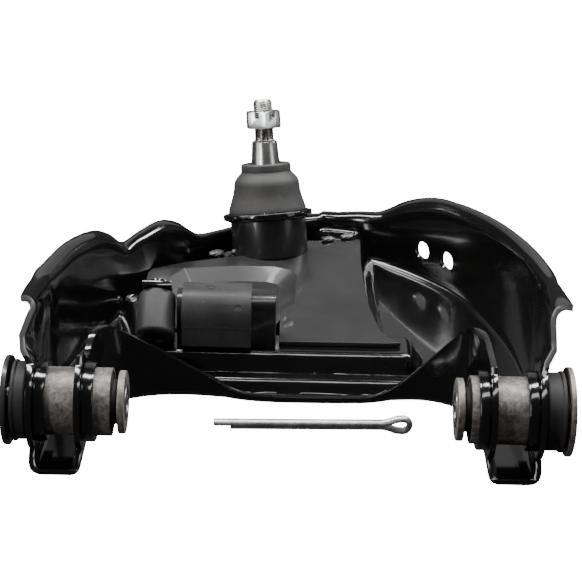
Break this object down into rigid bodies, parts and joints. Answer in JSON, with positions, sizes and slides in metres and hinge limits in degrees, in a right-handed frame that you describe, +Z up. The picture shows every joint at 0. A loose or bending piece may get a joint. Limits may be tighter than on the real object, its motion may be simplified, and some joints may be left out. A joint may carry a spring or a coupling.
{
  "type": "suspension control arm",
  "caption": "Stamped-steel suspension control arm with two rubber bushings across its legs, a booted ball joint at its far end, rubber bumpers and a loose split pin.",
  "frame": {"origin": "middle of the footprint, at the level of the surface the arm lies on", "axes": "+X along the bushing axis, to the right seen from the bushings; +Y from the bushings to the ball joint; +Z up, the way the ball stud points"},
  "size_m": [0.3388, 0.3401, 0.132],
  "materials": {
    "paint": "gloss black paint on pressed steel",
    "rubber": "matt moulded",
    "steel": "drawn tube, lightly oiled, black-phosphated where seen",
    "zinc": "bright zinc plate",
    "polymer": "moulded bearing polymer",
    "stud": "ground and polished taper",
    "weld": "painted weld bead"
  },
  "bodies": {
    "arm": {"arm_stamping": "paint", "closing_plate": "paint", "weld_left_far": "weld", "bumper_bracket": "paint", "block_bumper": "rubber", "block_bumper_stud": "zinc", "block_bumper_nut": "zinc", "round_bumper": "rubber", "round_bumper_stud": "zinc", "round_bumper_nut": "zinc", "round_bumper_seat": "paint", "ear_collar_left_outer": "paint", "ear_collar_left_inner": "paint", "ear_collar_right_outer": "paint", "ear_collar_right_inner": "paint", "bushing_sleeve_left": "steel", "bushing_sleeve_right": "steel", "bushing_rubber_left": "rubber", "bushing_rubber_right": "rubber", "ball_housing": "paint", "housing_cover": "paint", "preload_pad": "rubber", "lower_cup": "polymer", "upper_bearing": "polymer", "boot_ring": "paint", "boot_skirt": "rubber", "weld_right_near": "weld", "weld_right_far": "weld"},
    "pivot_left": {"bushing_inner_sleeve_left": "steel", "bushing_washer_in_left": "paint", "bushing_washer_out_left": "paint"},
    "pivot_right": {"bushing_inner_sleeve_right": "steel", "bushing_washer_in_right": "paint", "bushing_washer_out_right": "paint"},
    "boot_upper": {"boot_dome": "rubber"},
    "boot_top": {"boot_collar": "rubber"},
    "stud": {"ball_stud": "stud"},
    "nut": {"castle_nut": "zinc"},
    "pin": {"cotter_pin": "zinc"}
  },
  "joints": [
    {"name": "bushing_left_twist", "type": "hinge", "parent": "arm", "child": "pivot_left", "pos_m": [-0.1334, -0.1413, 0.035], "axis": [1, 0, 0], "range_deg": [-30, 30], "stiffness_Nm_per_rad": 20},
    {"name": "bushing_right_twist", "type": "hinge", "parent": "arm", "child": "pivot_right", "pos_m": [0.1366, -0.1413, 0.035], "axis": [1, 0, 0], "range_deg": [-30, 30], "stiffness_Nm_per_rad": 20},
    {"name": "stud_tilt_fore_aft", "type": "hinge", "parent": "arm", "child": "boot_upper", "pos_m": [-0.017, 0.1227, 0.0334], "axis": [1, 0, 0], "range_deg": [-17.8, 10.2], "deforming": ["boot_skirt"]},
    {"name": "stud_tilt_side", "type": "hinge", "parent": "boot_upper", "child": "boot_top", "pos_m": [-0.017, 0.1227, 0.0334], "axis": [0, 1, 0], "range_deg": [-16.2, 11.8], "deforming": ["boot_dome"]},
    {"name": "stud_spin", "type": "hinge", "parent": "boot_top", "child": "stud", "pos_m": [-0.017, 0.1227, 0.0334], "axis": [-0.0708, 0.2582, 0.9635], "continuous": true},
    {"name": "nut_turn", "type": "hinge", "parent": "stud", "child": "nut", "pos_m": [-0.02266, 0.14335, 0.11048], "axis": [-0.0708, 0.2582, 0.9635], "continuous": true},
    {"name": "pin_lift", "type": "slide", "parent": "arm", "child": "pin", "axis": [0, 0, 1], "range_m": [0, 0.06]}
  ]
}
